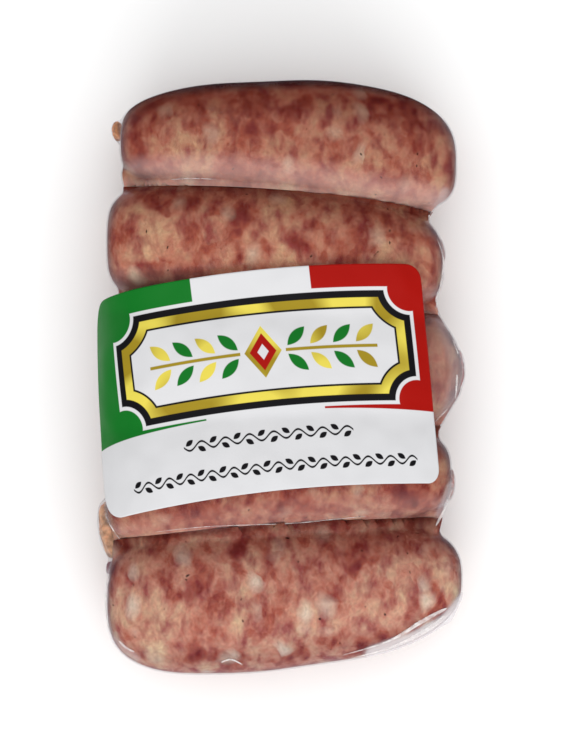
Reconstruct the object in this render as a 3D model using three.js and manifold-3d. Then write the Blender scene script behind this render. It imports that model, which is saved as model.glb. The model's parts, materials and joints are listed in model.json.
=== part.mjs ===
// A vacuum pack of five fresh sausages, side by side in clear shrunk film, with a label over the middle
// three. It lies on its back with the label up. Millimetres, +Z up: +X runs along the sausages, +Y across
// the row towards the first one, and the origin is under the middle of the pack, on what it lies on.
import * as THREE from 'three';
import { mergeVertices } from 'three/addons/utils/BufferGeometryUtils.js';
import Module from 'manifold-3d';

// Driving dimensions

// Each sausage, from the +Y end of the row. x and y place its middle. tilt is how far its axis has risen in
// Y at its right end, and bow how far the middle arches above the ends. leftEnd and rightEnd say how blunt
// the ends are: 2 is an ellipse and 4 nearly a box. taper is the share of its width that it loses towards
// the right end. The third one is drawn out to a wedge at the right: seen from above, that end is as blunt
// as wedgeEnd, with a tip as round as wedgeTip, where 1 is a sharp one.
const LINKS = [
  {
    x: 1.8, y: 59.9, halfLength: 42.2, halfWidth: 14.6, halfHeight: 19.4,
    tilt: -2.7, bow: 3.8, leftEnd: 3.9, rightEnd: 3.2, taper: -0.16,
  },
  {
    x: -1.5, y: 32.6, halfLength: 42.2, halfWidth: 15.5, halfHeight: 19.3,
    tilt: -2.6, bow: 1.6, leftEnd: 4.3, rightEnd: 3.3, taper: 0.04,
  },
  {
    x: 0.6, y: 2.8, halfLength: 45.0, halfWidth: 16.6, halfHeight: 18.9,
    tilt: 0.9, bow: 1.7, leftEnd: 3.6, rightEnd: 2.8, wedgeEnd: 9.0, wedgeTip: 1.5, taper: 0.08,
  },
  {
    x: -0.7, y: -24.3, halfLength: 43.3, halfWidth: 13.5, halfHeight: 19.4,
    tilt: 3.4, bow: 3.4, leftEnd: 3.4, rightEnd: 3.8, taper: 0.06,
  },
  {
    x: 0.8, y: -54.25, halfLength: 44.7, halfWidth: 19.0, halfHeight: 18.2,
    tilt: 2.7, bow: -1.3, leftEnd: 3.2, rightEnd: 2.8, taper: 0.1,
  },
];
const SECTION_POWER = 2.3; // the sausages are pressed a little square in section
const REST_CUT = 0.9; // how much of each round underside the surface has flattened
const LUMP = 0.012; // unevenness of the filling, as a share of the radius
const LINK_SEGMENTS_AROUND = 28;
const LINK_SEGMENTS_ALONG = 20;

// Film that bridges the notches between the ends of neighbouring sausages, and draws out past the third
// one's tip
const WEB_OUTLINE = [
  [-39.4, 46.9], [-40.8, 18.9], [-43.2, -19.0], [-42.4, -45.4], [-34.0, -58.0], [30.0, -50.0],
  [39.8, -37.6], [40.9, -32.6], [39.4, -13.2], [44.9, -4.2], [46.1, 1.0], [45.2, 6.0], [39.1, 16.8],
  [36.8, 39.8], [38.8, 42.6], [36.0, 52.0], [-36.0, 56.0], [-40.3, 51.2],
];
const WEB_BOTTOM = 13.0;
const WEB_TOP = 22.0;
const WEB_ROUNDING = 3.5;
const WEB_ROUNDING_STEPS = 3;

// Film stretched flat past the tapered right end of the last sausage
const CORNER_WEB = [[30.0, -50.0], [12.0, -64.0], [22.5, -69.4], [34.0, -65.3], [42.6, -61.3], [45.8, -54.4]];
const CORNER_WEB_BOTTOM = 12.0;
const CORNER_WEB_TOP = 19.0;
const CORNER_WEB_ROUNDING = 2.5;

// Tied and folded ends of the casings, where they stand out of the row: the middle of each and its half sizes
const TIED_ENDS = [
  { at: [-40.8, 61.6, 19.0], size: [1.8, 2.8, 3.2], turn: 0.15 },
  { at: [39.7, 32.0, 16.5], size: [1.5, 3.6, 3.8], turn: 0.18 },
  { at: [44.0, 2.2, 17.5], size: [2.2, 5.6, 5.6], turn: 0.06 },
  { at: [42.2, -27.0, 17.0], size: [1.5, 4.2, 4.4], turn: -0.08 },
  { at: [-43.2, -38.2, 16.0], size: [2.8, 7.8, 6.2], turn: 0.16 },
  { at: [-42.7, -47.8, 17.0], size: [1.5, 2.1, 2.4], turn: 0.0 },
];
const TIED_END_SEGMENTS = 12;

// Label: a printed sheet stuck on the film, cut flat to this size and bent down over the ends of the sausages.
// Its ends sag with the bowed row, and its lower left corner is drawn in over the end of the fourth sausage.
const LABEL_WIDTH = 88.5;
const LABEL_HEIGHT = 54.2;
const LABEL_THICKNESS = 0.4;
const LABEL_CORNER_LEFT = 6.6;
const LABEL_CORNER_RIGHT = 3.8;
const LABEL_DRAWN_IN = 2.4;
const LABEL_CENTRE = [-6.8, -1.0];
const LABEL_TURN = THREE.MathUtils.degToRad(6.6);
const LABEL_SAG = 3.3;
const LABEL_LEFT_BEND = { from: -29.0, radius: 17.0 };
const LABEL_RIGHT_BEND = { from: 22.0, radius: 26.0 };
const LABEL_COLUMNS = 26;
const LABEL_ROWS = 16;
const LABELLED_LINKS = [LINKS[1], LINKS[2], LINKS[3]];
const CREST_RADIUS = 46.0; // of the label over each sausage: it spans the furrows with a shallow dip
const CREST_BLEND = 0.5; // how softly one crest runs into the next
const CREST_CLEARANCE = 0.5; // the crests stand above the swellings of the filling
const TOUCHING_GAP = 0.3; // between the label and the film under it
const BED_DEPTH = 18.0; // film and sausage joined under the label, narrower as it goes down
const BED_INSET_TOP = 0.9;
const BED_INSET_BOTTOM = 9.0;

const MATERIALS = {
  pack: new THREE.MeshStandardMaterial({
    name: 'sausages in clear film', color: '#ab6f5c', roughness: 0.28, metalness: 0,
  }),
  label: new THREE.MeshStandardMaterial({
    name: 'printed label', color: '#e4e3e2', roughness: 0.35, metalness: 0,
  }),
};

const wasm = await Module();
wasm.setup();

// A three.js geometry as a closed solid that can be joined.
function toSolid(geometry) {
  const bare = geometry.index ? geometry.clone() : mergeVertices(geometry, 0);
  bare.deleteAttribute('normal');
  bare.deleteAttribute('uv');
  const merged = mergeVertices(bare, 1e-4);
  return new wasm.Manifold(new wasm.Mesh({
    numProp: 3,
    vertProperties: merged.attributes.position.array,
    triVerts: new Uint32Array(merged.index.array),
  }));
}

function toGeometry(solid) {
  const mesh = solid.getMesh();
  const geometry = new THREE.BufferGeometry();
  geometry.setAttribute('position', new THREE.BufferAttribute(new Float32Array(mesh.vertProperties), 3));
  geometry.setIndex(new THREE.BufferAttribute(new Uint32Array(mesh.triVerts), 1));
  geometry.computeVertexNormals();
  return geometry;
}

const signedPower = (value, power) => Math.sign(value) * Math.abs(value) ** power;

// Moves each corner of a geometry to where place(corner) says.
function shape(geometry, place) {
  const position = geometry.attributes.position;
  const corner = new THREE.Vector3();
  for (let i = 0; i < position.count; i += 1) {
    corner.fromBufferAttribute(position, i);
    place(corner);
    position.setXYZ(i, corner.x, corner.y, corner.z);
  }
  return geometry;
}

// Y of a sausage's axis at a share t of its half length, from -1 at the left end to 1 at the right.
const axisY = (link, t) => link.y + link.tilt * t - link.bow * t * t;

// Slow swellings of the filling, other ones on each sausage.
function swelling(index, t, turn) {
  const along = Math.sin(5.1 * t + 2.3 * index) + Math.sin(9.7 * t - 1.7 * index + turn);
  const around = Math.sin(2 * turn + 1.3 * index + 3 * t);
  return 1 + LUMP * (0.6 * along + 0.8 * around);
}

// One sausage: a ball drawn out along X into a blunt, slightly bent bar, flat where it rests.
function linkGeometry(link, index) {
  const ball = new THREE.SphereGeometry(1, LINK_SEGMENTS_AROUND, LINK_SEGMENTS_ALONG);
  ball.rotateZ(-Math.PI / 2);
  return shape(ball, (corner) => {
    const t = THREE.MathUtils.clamp(corner.x, -1, 1);
    const turn = Math.atan2(corner.z, corner.y);
    const end = t < 0 ? link.leftEnd : link.rightEnd;
    const rise = (1 - Math.abs(t) ** end) ** (1 / end);
    const spread = t > 0 && link.wedgeEnd ? (1 - t ** link.wedgeEnd) ** (1 / link.wedgeTip) : rise;
    const swollen = swelling(index, t, turn);
    const halfWidth = link.halfWidth * (1 - link.taper * t) * spread * swollen;
    const across = halfWidth * signedPower(Math.cos(turn), 2 / SECTION_POWER);
    const up = link.halfHeight * rise * swollen * signedPower(Math.sin(turn), 2 / SECTION_POWER);
    const height = link.halfHeight - REST_CUT + up;
    corner.set(link.x + link.halfLength * t, axisY(link, t) + across, Math.max(height, 0));
  });
}

// A plate of the given outline between two heights, with rounded rims.
function plateGeometry(outline, bottom, top, rounding) {
  const face = new THREE.Shape(outline.map(([x, y]) => new THREE.Vector2(x, y)));
  const plate = new THREE.ExtrudeGeometry(face, {
    depth: top - bottom - 2 * rounding,
    bevelEnabled: true,
    bevelThickness: rounding,
    bevelSize: rounding,
    bevelOffset: -rounding,
    bevelSegments: WEB_ROUNDING_STEPS,
    steps: 1,
  });
  return plate.translate(0, 0, bottom + rounding);
}

function tiedEndGeometry(end) {
  const knob = new THREE.SphereGeometry(1, TIED_END_SEGMENTS, TIED_END_SEGMENTS / 2);
  return knob.scale(...end.size).rotateZ(end.turn).translate(...end.at);
}

// Rounds the corners of a rectangle of half sizes w and h by drawing its grid in towards a quarter circle.
function roundCorner(corner, w, h, radius) {
  const a = (Math.abs(corner.x) - (w - radius)) / radius;
  const b = (Math.abs(corner.y) - (h - radius)) / radius;
  if (a <= 0 || b <= 0) return;
  corner.x = Math.sign(corner.x) * (w - radius + radius * a * Math.sqrt(1 - (b * b) / 2));
  corner.y = Math.sign(corner.y) * (h - radius + radius * b * Math.sqrt(1 - (a * a) / 2));
}

// Height of the label's underside over the crests of the sausages, before its ends bend down.
function crestHeight(x, y) {
  const heights = LABELLED_LINKS.map((link) => {
    const t = THREE.MathUtils.clamp((x - link.x) / link.halfLength, -1, 1);
    const off = y - axisY(link, t);
    return 2 * link.halfHeight - REST_CUT + CREST_CLEARANCE - (off * off) / (2 * CREST_RADIUS);
  });
  const highest = Math.max(...heights);
  const sum = heights.reduce((total, height) => total + Math.exp((height - highest) / CREST_BLEND), 0);
  return highest + CREST_BLEND * Math.log(sum) + TOUCHING_GAP;
}

// Bends the flat sheet down round an upright cylinder past each bend line, keeping its length.
function bendDown(corner, bend, side) {
  const past = side * (corner.x - bend.from);
  if (past <= 0) return;
  const angle = past / bend.radius;
  corner.x = bend.from + side * bend.radius * Math.sin(angle);
  corner.z -= bend.radius * (1 - Math.cos(angle));
}

// A sheet in the label's place. lift is the height of its underside over the film, and the insets are how
// much smaller than the label it is, all round, at its top and at its bottom.
function labelSheetGeometry(thickness, lift, insetTop, insetBottom) {
  const sheet = new THREE.BoxGeometry(2, 2, thickness, LABEL_COLUMNS, LABEL_ROWS, 1);
  return shape(sheet, (corner) => {
    const inset = corner.z > 0 ? insetTop : insetBottom;
    const w = LABEL_WIDTH / 2 - inset;
    const h = LABEL_HEIGHT / 2 - inset;
    const above = corner.z + thickness / 2 + lift;
    corner.set(corner.x * w, corner.y * h, 0);
    const radius = corner.x > 0 ? LABEL_CORNER_RIGHT : LABEL_CORNER_LEFT;
    roundCorner(corner, w, h, radius);
    const left = Math.max(-corner.x / (LABEL_WIDTH / 2), 0);
    const low = Math.max(0.5 - corner.y / LABEL_HEIGHT, 0);
    corner.x += LABEL_DRAWN_IN * left ** 2 * low ** 2;
    corner.y -= LABEL_SAG * (corner.x / (LABEL_WIDTH / 2)) ** 2;
    corner.applyAxisAngle(new THREE.Vector3(0, 0, 1), LABEL_TURN);
    corner.x += LABEL_CENTRE[0];
    corner.y += LABEL_CENTRE[1];
    corner.z = crestHeight(corner.x, corner.y) + above;
    bendDown(corner, LABEL_LEFT_BEND, -1);
    bendDown(corner, LABEL_RIGHT_BEND, 1);
  });
}

// The film's outer form: five sausages, the film between them, their tied ends and the bed under the label.
function packGeometry() {
  const pieces = [
    ...LINKS.map(linkGeometry),
    plateGeometry(WEB_OUTLINE, WEB_BOTTOM, WEB_TOP, WEB_ROUNDING),
    plateGeometry(CORNER_WEB, CORNER_WEB_BOTTOM, CORNER_WEB_TOP, CORNER_WEB_ROUNDING),
    ...TIED_ENDS.map(tiedEndGeometry),
    labelSheetGeometry(BED_DEPTH, -BED_DEPTH - TOUCHING_GAP, BED_INSET_TOP, BED_INSET_BOTTOM),
  ];
  return toGeometry(pieces.map(toSolid).reduce((joined, piece) => joined.add(piece)));
}

const part = new THREE.Group();

const pack = new THREE.Mesh(packGeometry(), MATERIALS.pack);
pack.name = 'film_pack';
part.add(pack);

const label = new THREE.Mesh(labelSheetGeometry(LABEL_THICKNESS, 0, 0, 0), MATERIALS.label);
label.name = 'label';
part.add(label);

export default part;
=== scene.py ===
"""A vacuum pack of five fresh sausages in clear shrunk film, with a printed label across the middle three.

It lies on its back. +X runs along the sausages, +Y across the row, +Z up through the label. Metres, sRGB hex.
"""
import json
import math
from functools import partial

import bmesh
import bpy
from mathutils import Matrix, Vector, noise
from mathutils.bvhtree import BVHTree

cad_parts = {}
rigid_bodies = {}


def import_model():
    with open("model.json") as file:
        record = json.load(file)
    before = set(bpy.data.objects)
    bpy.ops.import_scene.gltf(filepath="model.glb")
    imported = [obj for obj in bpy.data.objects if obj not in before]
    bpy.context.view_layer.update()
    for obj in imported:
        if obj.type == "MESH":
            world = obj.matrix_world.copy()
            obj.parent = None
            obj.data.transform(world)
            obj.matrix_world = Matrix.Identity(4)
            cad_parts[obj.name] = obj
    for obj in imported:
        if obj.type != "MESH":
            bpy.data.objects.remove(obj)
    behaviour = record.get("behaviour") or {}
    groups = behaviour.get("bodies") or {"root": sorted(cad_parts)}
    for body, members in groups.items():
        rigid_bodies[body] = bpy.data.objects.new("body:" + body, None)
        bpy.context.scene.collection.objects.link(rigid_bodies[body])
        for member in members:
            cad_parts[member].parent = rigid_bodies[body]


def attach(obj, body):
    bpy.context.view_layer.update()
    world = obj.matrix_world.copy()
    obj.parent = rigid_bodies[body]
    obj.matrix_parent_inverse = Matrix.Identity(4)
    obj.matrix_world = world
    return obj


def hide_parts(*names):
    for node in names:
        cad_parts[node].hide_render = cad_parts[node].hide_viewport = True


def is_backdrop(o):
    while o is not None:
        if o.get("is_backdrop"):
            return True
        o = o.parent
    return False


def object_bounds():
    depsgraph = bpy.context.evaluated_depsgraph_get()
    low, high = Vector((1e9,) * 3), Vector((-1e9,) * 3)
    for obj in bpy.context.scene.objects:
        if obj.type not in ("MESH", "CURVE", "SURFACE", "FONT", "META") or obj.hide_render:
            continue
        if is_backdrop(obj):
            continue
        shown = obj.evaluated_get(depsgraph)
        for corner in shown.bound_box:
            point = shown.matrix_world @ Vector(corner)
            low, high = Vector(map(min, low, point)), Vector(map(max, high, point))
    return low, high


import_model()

bl_info = {
    "name": "Vacuum-packed sausages",
    "version": (1, 0, 0),
    "blender": (4, 5, 0),
    "location": "3D View > Sidebar > Sausage pack",
    "description": "Builds a film pack of fresh sausages with its label, floor, lights and camera",
    "category": "Add Mesh",
}

MM = 0.001
BODY = "root"
PACK_NODE = "film_pack"
LABEL_NODE = "label"

# Each sausage, in millimetres, as the pack's solid has it. x and y place its middle. tilt is how far its
# axis has risen in Y at its right end, and bow how far the middle arches above the ends. left_end and
# right_end say how blunt the ends are, and taper is the share of its width that it loses towards the right
# end. The third one is drawn out to a wedge at the right: seen from above, that end is as blunt as
# wedge_end, with a tip as round as wedge_tip.
LINKS = (
    dict(x=1.8, y=59.9, half_length=42.2, half_width=14.6, half_height=19.4,
         tilt=-2.7, bow=3.8, left_end=3.9, right_end=3.2, taper=-0.16),
    dict(x=-1.5, y=32.6, half_length=42.2, half_width=15.5, half_height=19.3,
         tilt=-2.6, bow=1.6, left_end=4.3, right_end=3.3, taper=0.04),
    dict(x=0.6, y=2.8, half_length=45.0, half_width=16.6, half_height=18.9,
         tilt=0.9, bow=1.7, left_end=3.6, right_end=2.8, wedge_end=9.0, wedge_tip=1.5, taper=0.08),
    dict(x=-0.7, y=-24.3, half_length=43.3, half_width=13.5, half_height=19.4,
         tilt=3.4, bow=3.4, left_end=3.4, right_end=3.8, taper=0.06),
    dict(x=0.8, y=-54.25, half_length=44.7, half_width=19.0, half_height=18.2,
         tilt=2.7, bow=-1.3, left_end=3.2, right_end=2.8, taper=0.1),
)
# Lift and slope of the border before a sausage, by its number
BORDER_SHIFTS = {1: (-0.25, 0.6), 4: (0.65, 0.0)}
SECTION_POWER = 2.3  # 2 for an oval section, more for one with fuller corners
REST_CUT = 0.9  # how much of the underside is flattened where the pack lies
LUMP = 0.012  # share by which the filling swells

# Film that bridges the notches between the sausages' ends, and past the tapered end of the last one
WEB_OUTLINE = (
    (-39.4, 46.9), (-40.8, 18.9), (-43.2, -19.0), (-42.4, -45.4), (-34.0, -58.0), (30.0, -50.0),
    (39.8, -37.6), (40.9, -32.6), (39.4, -13.2), (44.9, -4.2), (46.1, 1.0), (45.2, 6.0), (39.1, 16.8),
    (36.8, 39.8), (38.8, 42.6), (36.0, 52.0), (-36.0, 56.0), (-40.3, 51.2),
)
WEB_HEIGHTS = (13.6, 21.4)
CORNER_WEB = ((30.0, -50.0), (12.0, -64.0), (22.5, -69.4), (34.0, -65.3), (42.6, -61.3), (45.8, -54.4))
CORNER_WEB_HEIGHTS = (12.6, 18.4)

# Tied and folded ends of the casings: the middle of each, its half sizes and its turn in plan
TIED_ENDS = (
    dict(at=(-40.8, 61.6, 19.0), size=(1.8, 2.8, 3.2), turn=0.15, tone="#CB8C60"),
    dict(at=(39.7, 32.0, 16.5), size=(1.5, 3.6, 3.8), turn=0.18, tone="#7C4A44"),
    dict(at=(44.0, 2.2, 17.5), size=(2.2, 5.6, 5.6), turn=0.06, tone="#86423C"),
    dict(at=(42.2, -27.0, 17.0), size=(1.5, 4.2, 4.4), turn=-0.08, tone="#A06E66"),
    dict(at=(-43.2, -38.2, 16.0), size=(2.8, 7.8, 6.2), turn=0.16, tone="#C49474"),
    dict(at=(-42.7, -47.8, 17.0), size=(1.5, 2.1, 2.4), turn=0.0, tone="#7E4A54"),
)

# Label, in millimetres, as its solid has it
LABEL_WIDTH = 88.5
LABEL_HEIGHT = 54.2
LABEL_THICKNESS = 0.4
LABEL_CORNERS = (6.6, 3.8)  # radii at the left and at the right
LABEL_DRAWN_IN = 2.4  # how far the lower left corner is drawn in along the label
LABEL_CENTRE = (-6.8, -1.0)
LABEL_TURN = math.radians(6.6)
LABEL_SAG = 3.3  # how far the sheet's ends droop in its own plane
LABEL_LEFT_BEND = dict(start=-29.0, radius=17.0)
LABEL_RIGHT_BEND = dict(start=22.0, radius=26.0)
LABELLED_LINKS = LINKS[1:4]
CREST_RADIUS = 46.0  # how flat the label lies over each crest
CREST_BLEND = 0.5  # how softly it passes from one crest to the next
CREST_CLEARANCE = 0.5
TOUCHING_GAP = 0.3  # between the label and the film in the solids
BED_DEPTH = 18.0  # of the film's bed under the label
BED_INSETS = (1.2, 9.0)  # top and bottom

# Print, in millimetres from the label's middle: fields of colour, a plaque with a sprig, and two rows of vine
PRINT_EDGE = {"From Min": 0.08, "From Max": -0.08}  # 1 where a distance is below 0, with a narrow soft edge
GREEN_EDGE = -12.6
RED_EDGE = 16.7
FIELD_EDGE = -7.8
FIELD_ARCH = 0.0008
PLAQUE = (3.2, 7.0)
PLAQUE_HALF = (37.0, 13.6)
PLAQUE_SCOOP = 6.0
PLAQUE_BANDS = (-0.9, 0.0, 1.7, 3.9, 4.4)  # how far in from its edge each colour begins
GOLD_SHEEN = 12.0
LABEL_RIPPLE = 11.0
LEAF_STEP = 5.6  # between two pairs of leaves along the stem
LEAF_OFF = 3.2  # from the stem to a leaf's middle
LEAF_TURN = 0.75
LEAF_HALF = (3.1, 1.25)
SPRIG_HALF = 28.0
DIAMOND_SLOPE = 0.72
DIAMOND_HALVES = (4.6, 3.3, 1.4)
VINES = (
    dict(x=2.0, y=-13.6, half_width=21.0, period=6.0),
    dict(x=2.4, y=-21.2, half_width=35.75, period=5.5),
)
VINE_RISE = 0.95
VINE_STROKE = 0.26
VINE_BUD = (1.15, 0.62)
VINE_BUD_OFF = 0.9
VINE_BUD_TURN = 0.6

MEAT_GLOW = (1.0, 0.35, 0.25)  # how far red, green and blue light spread in meat, as shares of its scale
TINT = {"data_type": "RGBA", "blend_type": "MULTIPLY"}  # settings of a Mix node that tints
COVER = {"data_type": "RGBA"}  # settings of one that covers

# Pleats in the film, each a route in plan with its half widths at both ends
# The two thinnest, along the last furrow and on the first sausage, are painted highlights; the rest partly so
PLEATS_AND_HIGHLIGHTS = (
    (((42.9, -27.4), (40.6, -33.0), (38.6, -37.0)), (0.28, 0.4)),
    (((41.0, -57.2), (34.6, -60.4), (26.6, -65.2), (15.0, -68.9)), (1.1, 0.15)),
    (((42.6, -58.0), (36.2, -62.6), (27.4, -67.0), (17.6, -69.8)), (2.0, 0.5)),
    (((-44.0, -33.6), (-42.2, -37.0), (-40.0, -40.8)), (0.16, 0.22)),
    (((-31.0, -38.1), (-18.0, -36.7), (2.0, -36.0), (12.0, -35.1), (21.0, -34.2)), (0.07, 0.09)),
    (((-14.9, -70.4), (-12.4, -69.6), (-9.6, -71.0)), (0.3, 0.3)),
    (((-27.4, 49.0), (-22.0, 49.2), (-16.0, 49.0)), (0.08, 0.08)),
    (((38.6, 34.6), (40.2, 29.6), (39.9, 25.4), (38.6, 17.2)), (0.25, 0.5)),
    (((42.5, 9.7), (44.0, 5.8)), (0.2, 0.35)),
    (((43.6, 0.8), (43.4, -5.4)), (0.6, 0.5)),
    (((41.4, -7.8), (38.4, -11.0)), (0.25, 0.25)),
    (((-42.6, -49.0), (-43.6, -53.2), (-43.8, -57.2), (-43.2, -61.6), (-42.0, -64.6)), (0.2, 0.2)),
    (((-40.2, -65.4), (-38.6, -67.0), (-36.4, -68.0)), (0.5, 0.4)),
    (((37.4, 41.2), (37.2, 39.0)), (0.35, 0.25)),
)
PLEAT_HEIGHT = 0.16

# Milky film, each a route in plan with its reach to both sides and how milky it is
MILKY = (
    (((46.0, -55.4), (41.0, -60.8), (33.0, -65.0), (23.0, -68.6)), 3.0, 1.0),
    (((41.6, 13.0), (45.0, 2.0), (42.8, -8.0)), 4.0, 0.2),
    (((-43.4, -49.0), (-44.4, -57.2), (-42.6, -64.6), (-36.0, -69.6)), 1.4, 0.3),
    (((40.6, 46.0), (38.2, 41.0)), 1.4, 0.3),
    (((39.6, -34.0), (42.0, -27.0)), 1.6, 0.4),
)
MILKY_CORE = 0.4  # share of the reach within which it is milky all over
ROUTE_STEP = 0.02
SKY = 60.0  # a height above all of the pack

# Fine shape of the meat and the film
LINK_BALL = (128, 84)  # segments and rings of the ball that a sausage is shaped from
BLANK_BALL = (96, 64)
END_BLANK_BALL = (48, 32)
KNOB_BALL = (64, 40)
PLEAT_BALL = (12, 40)
BED_CUTS = 24
LABEL_GRID = (220, 136)
SHEET_THICKNESS = 0.2
MEAT_GAP = 0.35  # between the film and the sausage in it, where the film is tight
PRESS_SOFTNESS = 0.3  # how softly two sausages flatten against each other
PRESS_GAP = -0.06  # between the middles of two pressed flanks, which just merge
PRESS_OVERLAP = 1.0  # how far past the border an end is drawn before it is pressed
FURROW_HALF = 37.0
FURROW_SIZE = (1.3, 1.6)  # half width and half height of the strand that rounds a furrow
FILL_FROM = 0.7  # share of a sausage's half length past which its end spreads out from one point
FILL_REACH = 9.0
FILL_SIDES = (0.1, 0.45)  # shares by which a flank has to face its neighbour to be drawn out, and right out
FREE_FROM = 1.2  # stand-off at which the film begins to look milky
FREE_AT = 4.6
WET = 0.85  # how wet the film is on the outer flank of the first sausage
WET_FADE = 8.0
WET_SIDES = (0.3, 0.8)

# Folds and lumps of the tied ends, as shares of their size
FOLDS_ROUND = 9
FOLD = 0.07
FOLD_WANDER = 2.5
KNOB_LUMP = 0.14
KNOB_LUMP_SCALE = 2.4
KNOB_SEED_STEP = 7.3
KNOB_SIZE = 0.94

# Painted light and shade on the flanks. The pairs of shares are those of a normal between which a mark sets
# in.
PAINTED_SHEEN = (0.28, 0.18, 0.1, 0.12, 0.0)  # how strong the painted sheen is down the flank of each sausage
PAINTED_SHEEN_SIDES = (0.3, 0.9)
PAINTED_SHEEN_TIP = (0.1, 0.6)  # at the right end of the third sausage
SHADE = 0.9
SHADE_INNER = 0.85
SHADE_SIDES = (0.1, 0.9)
SHADE_TOP = (-0.05, 0.78)
FURROW_SHADE = (0.6, 4.5)  # distances from the furrow over which the shade fades
FURROW_PAINTED_SHEEN = (0.4, 3.0)
FURROW_RIM_SHADE = (1.0, 5.0)
FURROW_POOL_SHADE = (0.2, 0.2, 0.2, 0.3)  # how dark the painted shade is on the flank under each furrow
TOP_RIM_SHADE = (0.74, 0.99)
LAST_UNDERSIDE_SHADE = 0.36
LAST_UNDERSIDE_SHADE_SIDES = (0.2, 0.85)
RIM_GAIN = 1.4
RIM_LEAN = 0.2  # how much stronger the rim is on the side away from the light
RIM_STEEP = (0.05, 0.8)
RIM_FADE = 6.0  # distance from a furrow over which the rim sets in
RIM_BELOW = 0.4  # what is left of the rim on the underside
RIM_UPPER = (-0.3, 0.12)
MILK_UPPER = (-0.1, 0.2)
# Each sausage's overall tint, set to how bright it looked: its own colour and painted light and shade
LINK_TONES_AND_SHADE = ("#C6BAB4", "#D4CDC6", "#B4A6A2", "#C0B0AC", "#DEE0E2")
FILM_VOXEL = 0.75
FORM_VOXEL = 0.9
FILM_SMOOTHING = 5

# Stage, in metres but for the sensor
FLOOR_SIZE = 6
KEY_LIGHT = dict(place=(0.15, -1.5, 1.05), aim=(0, 0, 0.02), size=(2.4, 1.2))
FILL_LIGHT = dict(place=(0.0, 0.1, 1.5), aim=(0, 0, 0), size=(2.4, 2.4))
IMAGE_HEIGHT = 752
PIXELS_PER_MM = 4.0  # of the photograph, at the pack's mid-height
VIEW_HEIGHT = 0.9
VIEW_CENTRE = (1.56 * MM, 0.38 * MM)
SENSOR = 36.0


def srgb(code):
    """An sRGB hex colour as linear RGBA."""
    channels = [int(code[i:i + 2], 16) / 255 for i in (1, 3, 5)]
    linear = [c / 12.92 if c <= 0.04045 else ((c + 0.055) / 1.055) ** 2.4 for c in channels]
    return (*linear, 1.0)


def smooth_step(low, high, value):
    """0 below low, 1 above high, and an even rise between them."""
    t = min(max((value - low) / (high - low), 0.0), 1.0)
    return t * t * (3 - 2 * t)


def signed_power(value, power):
    return math.copysign(abs(value) ** power, value)


def colour_property(name, description, code):
    return bpy.props.FloatVectorProperty(
        name=name, description=description, subtype="COLOR", size=4, min=0, max=1, default=srgb(code))


class MeatSettings(bpy.types.PropertyGroup):
    """The filling of the sausages, seen through its casing."""
    maroon: colour_property("Dark lean", "Coarse pieces of dark red lean meat", "#9B4542")
    lean: colour_property("Lean", "Most of the lean meat", "#BD6A57")
    mince: colour_property("Mince", "Finely mixed lean and fat", "#D6947E")
    tan: colour_property("Soft fat", "Soft fat under a thin layer of lean", "#E0B092")
    cream: colour_property("Yellow fat", "Patches of soft yellowish fat", "#EECBA4")
    white: colour_property("Firm fat", "Rounded lumps of firm white fat", "#F0DCC6")
    purple: colour_property("Purple lean", "Lean meat that has seen no air", "#C894A6")
    pepper: colour_property("Pepper", "Cracked pepper", "#35221C")
    # Dark tint of painted shade and painted dark reflection, on the rims and under the furrows
    rim_shade: colour_property("Juice", "Tint of the juice that gathers under the film on the flanks", "#5C6084")
    # A pale tint for a painted sheen: the film's glancing reflection on the flanks toward the light
    painted_sheen: colour_property("Smear", "Soft fat smeared under the film beside the furrows", "#FFE0D8")
    shade: colour_property("Shade", "Tint of the flanks that are turned away from the light", "#B8928C")
    lump_size: bpy.props.FloatProperty(
        name="Lump size", description="Usual width of the coarse pieces of meat and fat",
        unit="LENGTH", min=0.001, max=0.02, default=0.0054)
    grain_size: bpy.props.FloatProperty(
        name="Grain size", description="Usual width of the fine pieces between the lumps",
        unit="LENGTH", min=0.0005, max=0.005, default=0.002)


class FilmSettings(bpy.types.PropertyGroup):
    """The shrunk film."""
    haze: bpy.props.FloatProperty(
        name="Haze", description="How milky the film is where it stands free of the meat",
        subtype="FACTOR", min=0, max=1, default=0.5)
    roughness: bpy.props.FloatProperty(
        name="Roughness", description="Roughness of the film's gloss",
        subtype="FACTOR", min=0, max=1, default=0.24)
    # The pleats' white is partly painted highlight
    pleat: bpy.props.FloatProperty(
        name="Pleats", description="How white the pressed pleats of the film are",
        subtype="FACTOR", min=0, max=1, default=0.48)


class LabelSettings(bpy.types.PropertyGroup):
    """The label's print."""
    white: colour_property("White", "Unprinted face of the label", "#CECED0")
    green: colour_property("Green", "Green field at the left, and the green leaves", "#0A6A1E")
    red: colour_property("Red", "Red field at the right, and the middle of the sprig", "#9A0A02")
    gold: colour_property("Gold", "Light side of the plaque's gold frame", "#D8C850")
    dark_gold: colour_property("Dark gold", "Dark side of the plaque's gold frame", "#96801E")
    ink: colour_property("Ink", "Near-black ink of the plaque's outline and the ornaments", "#0A090D")


class StageSettings(bpy.types.PropertyGroup):
    """Floor and light."""
    floor: colour_property("Floor", "Colour of the floor", "#FCFCFC")
    key_power: bpy.props.FloatProperty(
        name="Key light", description="Power of the large soft light from the lower side of the picture",
        unit="POWER", min=0, default=19.5)
    fill_power: bpy.props.FloatProperty(
        name="Fill light", description="Power of the soft light overhead",
        unit="POWER", min=0, default=12.5)
    ambient: bpy.props.FloatProperty(
        name="Room light", description="Strength of the even light from all round",
        min=0, max=2, default=0.68)


def settings(name):
    return getattr(bpy.context.scene, name)


# Modelling helpers

def deselect_all():
    if bpy.context.mode != "OBJECT":
        bpy.ops.object.mode_set(mode="OBJECT")
    for item in bpy.context.view_layer.objects:
        item.select_set(False)


def make_active(piece):
    deselect_all()
    piece.select_set(True)
    bpy.context.view_layer.objects.active = piece


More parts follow.
